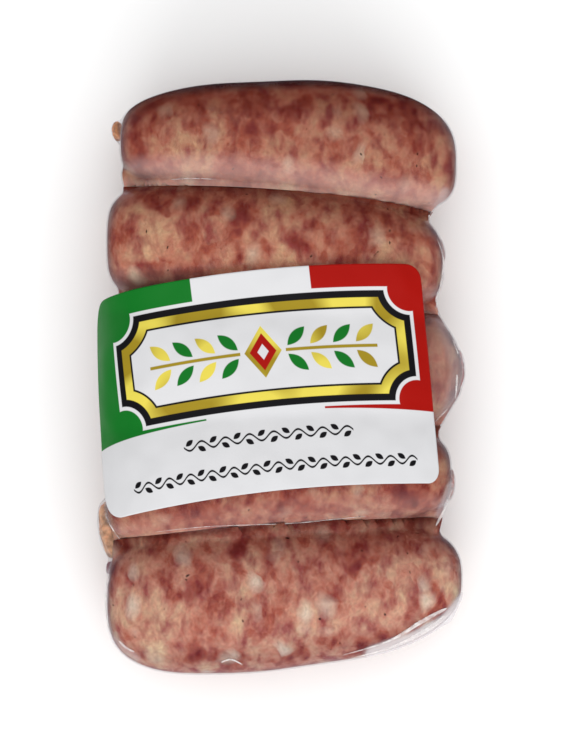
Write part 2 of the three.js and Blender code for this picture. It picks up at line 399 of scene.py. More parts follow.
def named_primitive(name):
    """The primitive that was just added, under its own name."""
    piece = bpy.context.object
    piece.name = name
    piece.data.name = name
    return piece


def apply_place(piece):
    make_active(piece)
    bpy.ops.object.transform_apply(location=True, rotation=True, scale=True)


def apply_modifier(piece, kind, **values):
    make_active(piece)
    modifier = piece.modifiers.new(kind.title(), kind)
    for key, value in values.items():
        setattr(modifier, key, value)
    bpy.ops.object.modifier_apply(modifier=modifier.name)


def sculpt(piece, move):
    """Moves each corner of a piece to where move(corner) says."""
    for vertex in piece.data.vertices:
        vertex.co = move(vertex.co.copy())
    piece.data.update()


def copy_of(piece, name):
    other = piece.copy()
    other.data = piece.data.copy()
    other.name = name
    other.data.name = name
    bpy.context.collection.objects.link(other)
    return other


def join_all(pieces, name):
    deselect_all()
    for piece in pieces:
        piece.select_set(True)
    bpy.context.view_layer.objects.active = pieces[0]
    bpy.ops.object.join()
    joined = bpy.context.object
    joined.name = name
    joined.data.name = name
    return joined


def smooth(piece):
    make_active(piece)
    bpy.ops.object.shade_smooth()


def edit_all(piece, operator, **values):
    """Runs an edit mode operator on all of a piece."""
    make_active(piece)
    bpy.ops.object.mode_set(mode="EDIT")
    bpy.ops.mesh.select_all(action="SELECT")
    operator(**values)
    bpy.ops.object.mode_set(mode="OBJECT")


def unit_ball(segments, rings):
    """A ball of radius 1 with its poles on X, from which pieces are shaped."""
    deselect_all()
    bpy.ops.mesh.primitive_uv_sphere_add(
        segments=segments, ring_count=rings, radius=1, rotation=(0, math.pi / 2, 0))
    ball = named_primitive("ball")
    apply_place(ball)
    return ball


def hand_over(piece, material, node):
    """Gives a finished piece its material and the pack's body, and hides the CAD node it stands for."""
    piece.data.materials.append(material)
    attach(piece, BODY)
    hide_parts(node)


# The sausages' form

def share_along(link, x):
    """Place of x along a sausage, from -1 at its left end to 1 at its right end."""
    return min(max((x - link["x"]) / link["half_length"], -1.0), 1.0)


def axis_y(link, t):
    """Y of a sausage's axis, in millimetres, at a share t of its half length."""
    return link["y"] + link["tilt"] * t - link["bow"] * t * t


def width_at(link, t):
    return link["half_width"] * (1 - link["taper"] * t)


def swelling(index, t, turn):
    """Slow swellings of the filling, other ones on each sausage."""
    along = math.sin(5.1 * t + 2.3 * index) + math.sin(9.7 * t - 1.7 * index + turn)
    around = math.sin(2 * turn + 1.3 * index + 3 * t)
    return 1 + LUMP * (0.6 * along + 0.8 * around)


def link_point(index, corner, inset):
    """Where a corner of a unit ball, its poles on X, lies on a sausage that is smaller all round by inset."""
    link = LINKS[index]
    t = min(max(corner.x, -1.0), 1.0)
    turn = math.atan2(corner.z, corner.y)
    end = link["left_end"] if t < 0 else link["right_end"]
    rise = (1 - abs(t) ** end) ** (1 / end)
    spread = rise
    if t > 0 and "wedge_end" in link:
        spread = (1 - t ** link["wedge_end"]) ** (1 / link["wedge_tip"])
    swollen = swelling(index, t, turn)
    power = 2 / SECTION_POWER
    across = (width_at(link, t) - inset) * spread * swollen * signed_power(math.cos(turn), power)
    up = (link["half_height"] - inset) * rise * swollen * signed_power(math.sin(turn), power)
    height = link["half_height"] - REST_CUT + up
    x = link["x"] + (link["half_length"] - inset) * t
    return Vector((x, axis_y(link, t) + across, max(height, inset)))


def border_y(upper, lower, x):
    """Y of the surface on which two neighbouring sausages press against each other."""
    sides = []
    for link in (upper, lower):
        t = share_along(link, x)
        sides.append((axis_y(link, t), width_at(link, t)))
    (upper_y, upper_width), (lower_y, lower_width) = sides
    level = (upper_y * lower_width + lower_y * upper_width) / (upper_width + lower_width)
    lift, slope = BORDER_SHIFTS.get(LINKS.index(lower), (0.0, 0.0))
    return level + (lift + slope * t) * (1 - t ** 4)


def furrow_point(index, corner):
    """Where a corner of a unit ball lies on the strand along X that rounds the furrow under a sausage."""
    upper, lower = LINKS[index], LINKS[index + 1]
    x = FURROW_HALF * corner.x
    y = border_y(upper, lower, x)
    t = (x - upper["x"]) / upper["half_length"]
    end = upper["left_end"] if t < 0 else upper["right_end"]
    rise = (1 - abs(t) ** end) ** (1 / end)
    off = min(abs(y - axis_y(upper, t)) / (width_at(upper, t) * rise), 1.0)
    bottom = upper["half_height"] * (1 + rise * (1 - off ** SECTION_POWER) ** (1 / SECTION_POWER)) - REST_CUT
    return Vector((x, y + FURROW_SIZE[0] * corner.y, bottom + FURROW_SIZE[1] * corner.z))


def soft_limit(value, limit):
    """value, held under limit with a soft knee."""
    return value - PRESS_SOFTNESS * math.log1p(math.exp((value - limit) / PRESS_SOFTNESS))


def pressed(index, point, gap):
    """Flattens a sausage where its neighbours press on it."""
    y = point.y
    if index > 0:
        y = soft_limit(y, border_y(LINKS[index - 1], LINKS[index], point.x) - gap)
    if index < len(LINKS) - 1:
        y = -soft_limit(-y, -border_y(LINKS[index], LINKS[index + 1], point.x) - gap)
    return Vector((point.x, y, point.z))


# The label's form

def crest_height(x, y):
    """Height of the label's underside over the crests of the sausages, before its ends bend down."""
    heights = []
    for link in LABELLED_LINKS:
        t = share_along(link, x)
        off = y - axis_y(link, t)
        heights.append(2 * link["half_height"] - REST_CUT + CREST_CLEARANCE - off * off / (2 * CREST_RADIUS))
    highest = max(heights)
    total = sum(math.exp((height - highest) / CREST_BLEND) for height in heights)
    return highest + CREST_BLEND * math.log(total) + TOUCHING_GAP


def round_corner(x, y, half_width, half_height):
    """Draws the corners of the label's grid in to quarter circles."""
    radius = LABEL_CORNERS[1] if x > 0 else LABEL_CORNERS[0]
    a = (abs(x) - (half_width - radius)) / radius
    b = (abs(y) - (half_height - radius)) / radius
    if a <= 0 or b <= 0:
        return x, y
    return (math.copysign(half_width - radius + radius * a * math.sqrt(1 - b * b / 2), x),
            math.copysign(half_height - radius + radius * b * math.sqrt(1 - a * a / 2), y))


def bend_down(point, bend, side):
    """Bends the flat sheet down round a cylinder past a bend line, keeping its length."""
    past = side * (point.x - bend["start"])
    if past > 0:
        angle = past / bend["radius"]
        point.x = bend["start"] + side * bend["radius"] * math.sin(angle)
        point.z -= bend["radius"] * (1 - math.cos(angle))


def label_point(u, v, above, inset):
    """The place over the pack of a point of the flat label. u and v run from -1 to 1 over it."""
    half_width = LABEL_WIDTH / 2 - inset
    half_height = LABEL_HEIGHT / 2 - inset
    x, y = round_corner(u * half_width, v * half_height, half_width, half_height)
    x += LABEL_DRAWN_IN * max(-x / (LABEL_WIDTH / 2), 0) ** 2 * max(0.5 - y / LABEL_HEIGHT, 0) ** 2
    y -= LABEL_SAG * (x / (LABEL_WIDTH / 2)) ** 2
    point = Vector((x * math.cos(LABEL_TURN) - y * math.sin(LABEL_TURN) + LABEL_CENTRE[0],
                    x * math.sin(LABEL_TURN) + y * math.cos(LABEL_TURN) + LABEL_CENTRE[1], 0.0))
    point.z = crest_height(point.x, point.y) + above
    bend_down(point, LABEL_LEFT_BEND, -1)
    bend_down(point, LABEL_RIGHT_BEND, 1)
    return point * MM


# Material helpers

def add_node(material, kind, links=(), stops=(), **values):
    """Adds a node and returns it.

    kind is its type without the word ShaderNode, values are its own settings, and stops the (place, colour)
    pairs of its colour ramp. links says what goes into its inputs: a number, a colour, a socket, or another
    node, which gives its first live output.
    """
    node = material.node_tree.nodes.new("ShaderNode" + kind)
    for key, value in values.items():
        setattr(node, key, value)
    for _ in stops[2:]:
        node.color_ramp.elements.new(0.5)
    for element, (place, colour) in zip(node.color_ramp.elements if stops else (), stops):
        element.position = place
        element.color = colour
    for key, value in dict(links).items():
        if isinstance(value, bpy.types.Node):
            value = next(socket for socket in value.outputs if socket.enabled)
        if isinstance(value, bpy.types.NodeSocket):
            material.node_tree.links.new(value, node.inputs[key])
        else:
            node.inputs[key].default_value = value
    return node


def new_material(name):
    """An empty material, and what adds nodes to it."""
    material = bpy.data.materials.new(name)
    material.use_nodes = True
    material.node_tree.nodes.clear()
    return material, partial(add_node, material)


def filling_material(name, meat, seed, tone):
    """Coarse raw sausage filling in natural casing: soft-edged lumps of lean and fat, with cracked pepper."""
    material, add = new_material(name)
    place = add("TexCoord").outputs["Object"]
    own = Vector((0.11, 0.07, 0.05)) * seed
    # The filling nozzle draws the lumps out round the sausage, across its length.
    drawn = add("Mapping", {"Vector": place, "Location": own, "Scale": (1.0, 0.78, 0.78)})
    streak = add("Mapping", {
        "Vector": place, "Location": own, "Rotation": (0, 0, 0.12), "Scale": (1.0, 0.56, 0.56)})
    waver = add("TexNoise", {"Vector": drawn, "Scale": 1 / (5.0 * MM), "Detail": 2.0, "Roughness": 0.45})
    warped = add("VectorMath", {
        0: waver.outputs["Color"], 1: (3.8 * MM,) * 3, 2: drawn}, operation="MULTIPLY_ADD")

    # Each lump is lean, mixed or fat by chance, and the smaller ones and the mince between them vary it.
    coarse = add("TexVoronoi", {
        "Vector": warped, "Scale": 1 / meat.lump_size, "Smoothness": 0.35}, feature="SMOOTH_F1")
    fine = add("TexVoronoi", {"Vector": warped, "Scale": 1 / meat.grain_size})
    coarse = add("SeparateColor", {"Color": coarse.outputs["Color"]})
    fine = add("SeparateColor", {"Color": fine.outputs["Color"]})
    cloud = add("TexNoise", {"Vector": drawn, "Scale": 1 / (3.2 * MM), "Detail": 2.0, "Roughness": 0.45})
    slow = add("TexNoise", {"Vector": drawn, "Scale": 1 / (9 * MM), "Detail": 1.0})
    fatness = -0.445
    for part, weight in ((coarse, 0.28), (fine, 0.14), (cloud, 0.68), (slow, 0.78)):
        fatness = add("Math", {0: part, 1: weight, 2: fatness}, operation="MULTIPLY_ADD")
    colour = add("ValToRGB", {"Fac": fatness}, stops=(
        (0.12, meat.maroon), (0.32, meat.lean), (0.5, meat.mince), (0.7, meat.tan), (0.92, meat.cream)))

    # Streaks of purple lean
    bands = add("TexNoise", {"Vector": streak, "Scale": 1 / (3.2 * MM), "Detail": 2.0})
    bands = add("MapRange", {"Value": bands, "From Min": 0.46, "From Max": 0.7, "To Max": 1.0})
    colour = add("Mix", {0: bands, 6: colour, 7: meat.purple}, **TINT)

    # Rounded lumps of firm fat, in about one cell of five
    lumps = add("TexVoronoi", {"Vector": warped, "Scale": 1 / (6.0 * MM)})
    chance = add("SeparateColor", {"Color": lumps.outputs["Color"]})
    picked = add("MapRange", {"Value": chance, "From Min": 0.66, "From Max": 0.86, "To Max": 0.8})
    near = add("MapRange", {"Value": lumps.outputs["Distance"], "From Min": 0.46, "From Max": 0.1})
    firm = add("Math", {0: near, 1: picked}, operation="MULTIPLY")
    colour = add("Mix", {0: firm, 6: colour, 7: meat.white}, **COVER)

    # Cracked pepper, a third to half a millimetre across
    corns = add("TexVoronoi", {"Vector": warped, "Scale": 1 / (2.7 * MM)})
    chance = add("SeparateColor", {"Color": corns.outputs["Color"]})
    picked = add("Math", {0: chance, 1: 0.74}, operation="GREATER_THAN")
    near = add("MapRange", {
        "Value": corns.outputs["Distance"], "From Min": 0.13, "From Max": 0.06, "To Max": 0.9})
    speck = add("Math", {0: near, 1: picked}, operation="MULTIPLY")
    colour = add("Mix", {0: speck, 6: colour, 7: meat.pepper}, **COVER)

    # Fine fibre over all of it
    fibre = add("TexNoise", {"Vector": warped, "Scale": 1 / (0.8 * MM), "Detail": 2.0, "Roughness": 0.6})
    fibre = add("MapRange", {
        "Value": fibre, "From Min": 0.25, "From Max": 0.75, "To Min": 0.82, "To Max": 1.18})
    colour = add("Mix", {0: 1.0, 6: colour, 7: fibre}, **TINT)
    # Each sausage's tint: its own colour and painted light and shade
    colour = add("Mix", {0: 1.0, 6: colour, 7: tone}, **TINT)

    # Painted shade away from the light, painted sheen toward it, and a painted dark rim down the outer flanks
    marks = (("shade", meat.shade, TINT), ("painted_sheen", meat.painted_sheen, COVER), ("rim_shade_amount", meat.rim_shade, TINT))
    for mark, tint, blend in marks:
        amount = add("Attribute", attribute_name=mark).outputs["Fac"]
        colour = add("Mix", {0: amount, 6: colour, 7: tint}, **blend)

    bump = add("Bump", {"Height": fatness, "Strength": 0.3, "Distance": 0.5 * MM})
    shader = add("BsdfPrincipled", {
        "Base Color": colour, "Normal": bump, "Roughness": 0.5, "Specular IOR Level": 0.0,
        "Subsurface Weight": 0.5, "Subsurface Scale": 1.2 * MM, "Subsurface Radius": MEAT_GLOW})
    add("OutputMaterial", {"Surface": shader})
    return material


def casing_material(name, tone):
    """Natural hog casing, gathered and tied over a little filling: mottled, and duller than the sausages."""
    material, add = new_material(name)
    place = add("TexCoord").outputs["Object"]
    mottle = add("TexNoise", {"Vector": place, "Scale": 1 / (2.0 * MM), "Detail": 3.0})
    depth = add("MapRange", {
        "Value": mottle, "From Min": 0.35, "From Max": 0.62, "To Min": 0.5, "To Max": 1.15})
    colour = add("Mix", {0: 1.0, 6: tone, 7: depth}, **TINT)
    bump = add("Bump", {"Height": mottle, "Strength": 0.5, "Distance": 0.6 * MM})
    shader = add("BsdfPrincipled", {
        "Base Color": colour, "Normal": bump, "Roughness": 0.5, "IOR": 1.4, "Specular IOR Level": 0.3,
        "Subsurface Weight": 0.4, "Subsurface Scale": 1.4 * MM, "Subsurface Radius": MEAT_GLOW})
    add("OutputMaterial", {"Surface": shader})
    return material


def film_material(film):
    """Clear blown shrink film, polyethylene on polyamide: glossy on the meat, milky where it stands free."""
    material, add = new_material("clear shrink film")
    free = add("Attribute", attribute_name="free").outputs["Fac"]
    place = add("TexCoord").outputs["Object"]
    pulls = add("TexNoise", {"Vector": place, "Scale": 1 / (3.5 * MM), "Detail": 2.0})
    bump = add("Bump", {"Height": pulls, "Strength": 0.25, "Distance": 0.25 * MM})
    clear = add("BsdfTransparent", {"Color": (1, 1, 1, 1)})
    gloss = add("BsdfPrincipled", {
        "Base Color": srgb("#B4B2BC"), "Metallic": 1.0, "Roughness": film.roughness, "Normal": bump})
    milk = add("BsdfDiffuse", {"Color": srgb("#F4F0F2"), "Normal": bump})
    haze = add("Math", {0: free, 1: film.haze}, operation="MULTIPLY")
    body = add("MixShader", {0: haze, 1: clear, 2: milk})
    shine = add("Fresnel", {"IOR": 1.24, "Normal": bump})
    wet = add("Attribute", attribute_name="wet").outputs["Fac"]
    dry = add("Math", {0: 1.0, 1: wet}, operation="SUBTRACT")
    shine = add("Math", {0: shine, 1: 0.3}, operation="MINIMUM")
    shine = add("Math", {0: shine, 1: dry}, operation="MULTIPLY")
    shader = add("MixShader", {0: shine, 1: body, 2: gloss})
    add("OutputMaterial", {"Surface": shader})
    return material


def pleat_and_highlight_material(film):
    """The same film pressed double in a pleat: whiter, still glossy, its white partly a painted highlight."""
    material, add = new_material("pressed pleat of shrink film")
    place = add("TexCoord").outputs["Object"]
    cloudy = add("TexNoise", {"Vector": place, "Scale": 1 / (2 * MM), "Detail": 2.0})
    whiteness = add("MapRange", {
        "Value": cloudy, "From Min": 0.35, "From Max": 0.65,
        "To Min": 0.3 * film.pleat, "To Max": film.pleat})
    clear = add("BsdfTransparent", {"Color": (1, 1, 1, 1)})
    white = add("BsdfPrincipled", {"Base Color": srgb("#FBF6F4"), "Roughness": film.roughness, "IOR": 1.5})
    shader = add("MixShader", {0: whiteness, 1: clear, 2: white})
    add("OutputMaterial", {"Surface": shader})
    return material


def pointed_leaf(add, cell, middle, half, turn):
    """Below 1 inside a leaf that is pointed at both ends and lies at its place in a cell of the pattern."""
    leaf = add("Mapping", {
        "Vector": cell, "Location": (*middle, 0), "Scale": (*half, 1), "Rotation": (0, 0, turn)},
        vector_type="TEXTURE")
    leaf = add("SeparateXYZ", {"Vector": leaf})
    bulge = add("Math", {0: leaf.outputs[1]}, operation="ABSOLUTE")
    return add("Math", {0: leaf.outputs[0], 1: leaf.outputs[0], 2: bulge}, operation="MULTIPLY_ADD")


def label_material(tints):
    """Self-adhesive polypropylene label, offset printed and varnished: a satin white face with flat inks."""
    material, add = new_material("printed polypropylene label")
    flat = add("UVMap", uv_map="flat").outputs[0]  # millimetres from the label's middle
    middle = add("SeparateXYZ", {"Vector": flat})
    inks = []  # (mask, colour) pairs, in the order in which they are printed

    # Green and red fields, above an edge that arches a little
    arch = add("Math", {0: middle.outputs[0], 1: middle.outputs[0]}, operation="MULTIPLY")
    arch = add("Math", {0: arch, 1: FIELD_ARCH, 2: middle.outputs[1]}, operation="MULTIPLY_ADD")
    over = add("Math", {0: FIELD_EDGE, 1: arch}, operation="SUBTRACT")
    left = add("Math", {0: middle.outputs[0], 1: GREEN_EDGE}, operation="SUBTRACT")
    right = add("Math", {0: RED_EDGE, 1: middle.outputs[0]}, operation="SUBTRACT")
    for side, colour in ((left, tints.green), (right, tints.red)):
        outside = add("Math", {0: side, 1: over}, operation="MAXIMUM")
        inks.append((add("MapRange", {"Value": outside, **PRINT_EDGE}), colour))

    # Plaque: a rectangle with scooped corners, in bands of white, black, gold and black round a light field
    centred = add("Mapping", {"Vector": flat, "Location": (-PLAQUE[0], -PLAQUE[1], 0)})
    mirrored = add("VectorMath", {0: centred}, operation="ABSOLUTE")
    past = add("VectorMath", {0: mirrored, 1: (*PLAQUE_HALF, 0)}, operation="SUBTRACT")
    past_parts = add("SeparateXYZ", {"Vector": past})
    straight = add("Math", {0: past_parts.outputs[0], 1: past_parts.outputs[1]}, operation="MAXIMUM")
    from_corner = add("VectorMath", {0: past}, operation="LENGTH").outputs["Value"]
    scoop = add("Math", {0: PLAQUE_SCOOP, 1: from_corner}, operation="SUBTRACT")
    outside = add("Math", {0: straight, 1: scoop}, operation="MAXIMUM")
    rays = add("TexNoise", {"Vector": flat, "Scale": 1 / GOLD_SHEEN, "Detail": 0.0})
    gold = add("ValToRGB", {"Fac": rays}, stops=((0.38, tints.dark_gold), (0.62, tints.gold)))
    for inset, colour in zip(PLAQUE_BANDS, (tints.white, tints.ink, gold, tints.ink, tints.white)):
        within = add("Math", {0: outside, 1: inset}, operation="ADD")
        inks.append((add("MapRange", {"Value": within, **PRINT_EDGE}), colour))

    # Sprig in the plaque: a stem with pairs of pointed leaves to both sides of a diamond
    folded = add("SeparateXYZ", {"Vector": mirrored})
    along, off = folded.outputs[0], folded.outputs[1]
    pair = add("Math", {0: along, 1: LEAF_STEP}, operation="MODULO")
    in_pair = add("CombineXYZ", {"X": pair, "Y": off})
    leaf = pointed_leaf(add, in_pair, (LEAF_STEP / 2, LEAF_OFF), LEAF_HALF, LEAF_TURN)
    leaf = add("MapRange", {"Value": leaf, "From Min": 1.12, "From Max": 0.95})
    tip = add("Math", {0: along, 1: SPRIG_HALF}, operation="LESS_THAN")
    root = add("Math", {0: along, 1: LEAF_STEP}, operation="GREATER_THAN")
    grown = add("Math", {0: tip, 1: root}, operation="MULTIPLY")
    number = add("Math", {0: along, 1: 2 * LEAF_STEP}, operation="MODULO")
    even = add("Math", {0: number, 1: LEAF_STEP}, operation="GREATER_THAN")
    leaf_colour = add("Mix", {0: even, 6: gold, 7: tints.green}, **COVER)
    stem = add("MapRange", {"Value": off, "From Min": 0.5, "From Max": 0.3})
    for mask, colour in ((stem, tints.dark_gold), (leaf, leaf_colour)):
        inks.append((add("Math", {0: mask, 1: grown}, operation="MULTIPLY"), colour))
    diamond = add("Math", {0: off, 1: DIAMOND_SLOPE, 2: along}, operation="MULTIPLY_ADD")
    for half, colour in zip(DIAMOND_HALVES, (gold, tints.red, tints.white)):
        within = add("Math", {0: diamond, 1: half}, operation="SUBTRACT")
        inks.append((add("MapRange", {"Value": within, **PRINT_EDGE}), colour))

    # Two rows of vine ornament in black under the fields
    for row in VINES:
        vine = add("Mapping", {"Vector": flat, "Location": (-row["x"], -row["y"], 0)})
        vine = add("SeparateXYZ", {"Vector": vine})
        phase = add("Math", {0: vine.outputs[0], 1: math.tau / row["period"]}, operation="MULTIPLY")
        wave = add("Math", {0: phase}, operation="SINE")
        side = add("Math", {0: wave}, operation="SIGN")
        stroke = add("Math", {0: wave, 1: -VINE_RISE, 2: vine.outputs[1]}, operation="MULTIPLY_ADD")
        stroke = add("Math", {0: stroke}, operation="ABSOLUTE")
        stroke = add("Math", {0: stroke, 1: VINE_STROKE}, operation="SUBTRACT")
        stroke = add("MapRange", {"Value": stroke, **PRINT_EDGE})
        ahead = add("Math", {0: vine.outputs[0]}, operation="ABSOLUTE")
        cell = add("Math", {0: ahead, 1: row["period"] / 2}, operation="MODULO")
        height = add("Math", {0: vine.outputs[1], 1: side}, operation="MULTIPLY")
        cell = add("CombineXYZ", {"X": cell, "Y": height})
        bud = pointed_leaf(add, cell, (row["period"] / 4, -VINE_BUD_OFF), VINE_BUD, VINE_BUD_TURN)
        bud = add("MapRange", {"Value": bud, "From Min": 1.15, "From Max": 0.9})
        drawn = add("Math", {0: stroke, 1: bud}, operation="MAXIMUM")
        in_row = add("Math", {0: ahead, 1: row["half_width"]}, operation="LESS_THAN")
        inks.append((add("Math", {0: drawn, 1: in_row}, operation="MULTIPLY"), tints.ink))

    colour = tints.white
    for mask, ink in inks:
        colour = add("Mix", {0: mask, 6: colour, 7: ink}, **COVER)
    rippled = add("TexNoise", {"Vector": flat, "Scale": 1 / LABEL_RIPPLE, "Detail": 1.0})
    bump = add("Bump", {"Height": rippled, "Strength": 1.0, "Distance": 1.4 * MM})
    shader = add("BsdfPrincipled", {
        "Base Color": colour, "Normal": bump, "Roughness": 0.42, "IOR": 1.5, "Specular IOR Level": 0.08})
    add("OutputMaterial", {"Surface": shader})
    return material


def paper_material(tone):
    """White uncoated background paper: matt and even, so that only the pack's soft shadow shows on it."""
    material, add = new_material("pale paper sweep")
    place = add("TexCoord").outputs["Object"]
    tooth = add("TexNoise", {"Vector": place, "Scale": 1 / (1.5 * MM), "Detail": 2.0})
    bump = add("Bump", {"Height": tooth, "Strength": 0.05, "Distance": 0.1 * MM})
    shader = add("BsdfPrincipled", {"Base Color": tone, "Roughness": 0.9, "Normal": bump})
    add("OutputMaterial", {"Surface": shader})
    return material


# Pieces

def surface_tree(piece):
    """A piece as a tree that rays can be cast on."""
    shape = bmesh.new()
    shape.from_mesh(piece.data)
    tree = BVHTree.FromBMesh(shape)
    shape.free()
    return tree


def end_point(end, corner, inset):
    """Where a corner of a unit ball lies on a tied end that is smaller all round by inset."""
    flat = Vector([corner[axis] * (end["size"][axis] - inset) for axis in range(3)])
    turn = end["turn"]
    return (Vector(end["at"]) + Vector((flat.x * math.cos(turn) - flat.y * math.sin(turn),
                                        flat.x * math.sin(turn) + flat.y * math.cos(turn), flat.z))) * MM


def web_plate(name, outline, heights):
    """A flat piece of stretched film of the given outline, as a closed plate."""
    deselect_all()
    bpy.ops.mesh.primitive_circle_add(vertices=len(outline), radius=1, fill_type="NGON")
    plate = named_primitive(name)
    for vertex, (x, y) in zip(plate.data.vertices, outline):
        vertex.co = Vector((x, y, heights[0])) * MM
    rise = (0, 0, (heights[1] - heights[0]) * MM)
    edit_all(plate, bpy.ops.mesh.extrude_region_move, TRANSFORM_OT_translate={"value": rise})
    edit_all(plate, bpy.ops.mesh.normals_make_consistent, inside=False)
    return plate


def film_blanks():
    """The closed forms that the film is shrunk over, without the tied ends."""
    blanks = []
    ball = unit_ball(*BLANK_BALL)
    for index in range(len(LINKS)):
        blank = copy_of(ball, f"blank_{index}")
        sculpt(blank, lambda corner: link_point(index, corner, 0.0) * MM)
        blanks.append(blank)
    for index in range(len(LINKS) - 1):
        blank = copy_of(ball, f"blank_furrow_{index}")
        sculpt(blank, lambda corner: furrow_point(index, corner) * MM)
        blanks.append(blank)
    bpy.data.objects.remove(ball)
    blanks.append(web_plate("blank_web", WEB_OUTLINE, WEB_HEIGHTS))
    blanks.append(web_plate("blank_corner", CORNER_WEB, CORNER_WEB_HEIGHTS))
    deselect_all()
    bpy.ops.mesh.primitive_cube_add(size=2)
    bed = named_primitive("blank_bed")
    edit_all(bed, bpy.ops.mesh.subdivide, number_cuts=BED_CUTS)

    def bed_point(corner):
        depth = (1 - corner.z) / 2
        inset = BED_INSETS[0] + (BED_INSETS[1] - BED_INSETS[0]) * depth
        return label_point(corner.x, corner.y, -TOUCHING_GAP - BED_DEPTH * depth, inset)

    sculpt(bed, bed_point)
    blanks.append(bed)
    return blanks


def end_blanks():
    """The tied ends as the film is shrunk over them."""
    ball = unit_ball(*END_BLANK_BALL)
    blanks = []
    for index, end in enumerate(TIED_ENDS):
        blank = copy_of(ball, f"blank_end_{index}")
        sculpt(blank, lambda corner: end_point(end, corner, 0.0))
        blanks.append(blank)
    bpy.data.objects.remove(ball)
    return blanks


def shrunk_over(blanks, name, voxel):
    """One closed skin, drawn tight over the blanks."""
    skin = join_all(blanks, name)
    apply_modifier(skin, "REMESH", mode="VOXEL", voxel_size=voxel * MM)
    apply_modifier(skin, "SMOOTH", factor=0.5, iterations=FILM_SMOOTHING)
    smooth(skin)
    skin.data.materials.clear()
    return skin


class SAUSAGEPACK_OT_film(bpy.types.Operator):
    """Shrink the clear film over the sausages, with its webs in the furrows and notches"""
    bl_idname = "sausage_pack.film"
    bl_label = "Film"

    def execute(self, context):
        film = shrunk_over(film_blanks() + end_blanks(), "film", FILM_VOXEL)
        hand_over(film, film_material(settings("pack_film")), PACK_NODE)
        return {"FINISHED"}


def filled(skin, index, point):
    """Draws a sausage out to the film beside its neighbours, and keeps all of it inside the film."""
    link = LINKS[index]
    t = (point.x - link["x"]) / link["half_length"]
    inner = min(max(t, -FILL_FROM), FILL_FROM)
    x = link["x"] + link["half_length"] * inner
    middle = Vector((x, axis_y(link, inner), link["half_height"] - REST_CUT))
    way = point - middle
    length = way.length
    way.normalize()
    distance = skin.ray_cast(middle * MM, way)[3]
    if distance is None:
        return point
    room = distance / MM - MEAT_GAP - length
    if room < 0:
        return point + way * room
    other = index - 1 if way.y > 0 else index + 1
    if other < 0 or other == len(LINKS):
        return point
    border = border_y(LINKS[min(index, other)], LINKS[max(index, other)], point.x)
    to_border = max((border - middle.y) / way.y + PRESS_OVERLAP if way.y else 0.0, length)
    share = smooth_step(*FILL_SIDES, abs(way.y))
    return middle + way * min(length + min(room, FILL_REACH) * share, to_border)


def mark_flanks(piece, index):
    """Stores three values at each corner of a sausage.

    The first mark, painted shade and dark reflection, says how steeply it faces out of the pack and how near
    it lies under a furrow, on the top of the first sausage and under the last. The second, painted shade,
    says how far it faces away from the next sausage and the light, or lies in the furrow before it. The
    third, painted sheen, says how far it faces the next one and the light, or lies beside the furrow after
    it.
    """
    names = ("rim_shade_amount", "shade", "painted_sheen")
    rim_shade_amount, shade, painted_sheen = (piece.data.attributes.new(name, "FLOAT", "POINT") for name in names)
    for number, vertex in enumerate(piece.data.vertices):
        normal = vertex.normal
        x, y = vertex.co.x / MM, vertex.co.y / MM
        outer = abs(normal.x)
        shaded = SHADE_INNER * smooth_step(*SHADE_SIDES, normal.y)
        sheen_share = smooth_step(*PAINTED_SHEEN_SIDES, -normal.y)
        if index == 0:
            outer = max(outer, normal.y)
            shaded = smooth_step(*SHADE_TOP, normal.y)
            pool_shade = smooth_step(*TOP_RIM_SHADE, normal.y)
        else:
            before = border_y(LINKS[index - 1], LINKS[index], x) - y
            shaded = max(shaded, 1 - smooth_step(*FURROW_SHADE, before))
            pool_shade = FURROW_POOL_SHADE[index - 1] * (1 - smooth_step(*FURROW_RIM_SHADE, before))
            outer *= smooth_step(0.0, RIM_FADE, before)
        if index == len(LINKS) - 1:
            outer = max(outer, -normal.y)
            pool_shade = max(pool_shade, LAST_UNDERSIDE_SHADE * smooth_step(*LAST_UNDERSIDE_SHADE_SIDES, -normal.y))
        else:
            after = y - border_y(LINKS[index], LINKS[index + 1], x)
            sheen_share = max(sheen_share, 1 - smooth_step(*FURROW_PAINTED_SHEEN, after))
            outer *= smooth_step(0.0, RIM_FADE, after)
        if "wedge_end" in LINKS[index]:
            sheen_share = max(sheen_share, smooth_step(*PAINTED_SHEEN_TIP, normal.x))
        steep = 1 - smooth_step(*RIM_STEEP, abs(normal.z))
        edge = steep * min(outer * RIM_GAIN, 1.0) * (1 - RIM_LEAN + RIM_LEAN * normal.y)
        upper = RIM_BELOW + (1 - RIM_BELOW) * smooth_step(*RIM_UPPER, normal.z)
        rim_shade_amount.data[number].value = upper * max(edge, pool_shade)
        shade.data[number].value = SHADE * shaded
        painted_sheen.data[number].value = PAINTED_SHEEN[index] * sheen_share


class SAUSAGEPACK_OT_sausages(bpy.types.Operator):
    """Model the five sausages, each pressed flat against its neighbours"""
    bl_idname = "sausage_pack.sausages"
    bl_label = "Sausages"

    def execute(self, context):
        meat = settings("pack_meat")
        form = shrunk_over(film_blanks(), "form", FORM_VOXEL)
        skin = surface_tree(form)
        bpy.data.objects.remove(form)
        ball = unit_ball(*LINK_BALL)
        for index, tone in enumerate(LINK_TONES_AND_SHADE):
            sausage = copy_of(ball, f"sausage_{index + 1}")
            sculpt(sausage, lambda corner: filled(skin, index, link_point(index, corner, MEAT_GAP)))
            sculpt(sausage, lambda corner: pressed(index, corner, PRESS_GAP) * MM)
            smooth(sausage)
            mark_flanks(sausage, index)
            filling = filling_material(f"raw sausage filling {index + 1}", meat, index + 1, srgb(tone))
            hand_over(sausage, filling, PACK_NODE)
        bpy.data.objects.remove(ball)
        return {"FINISHED"}


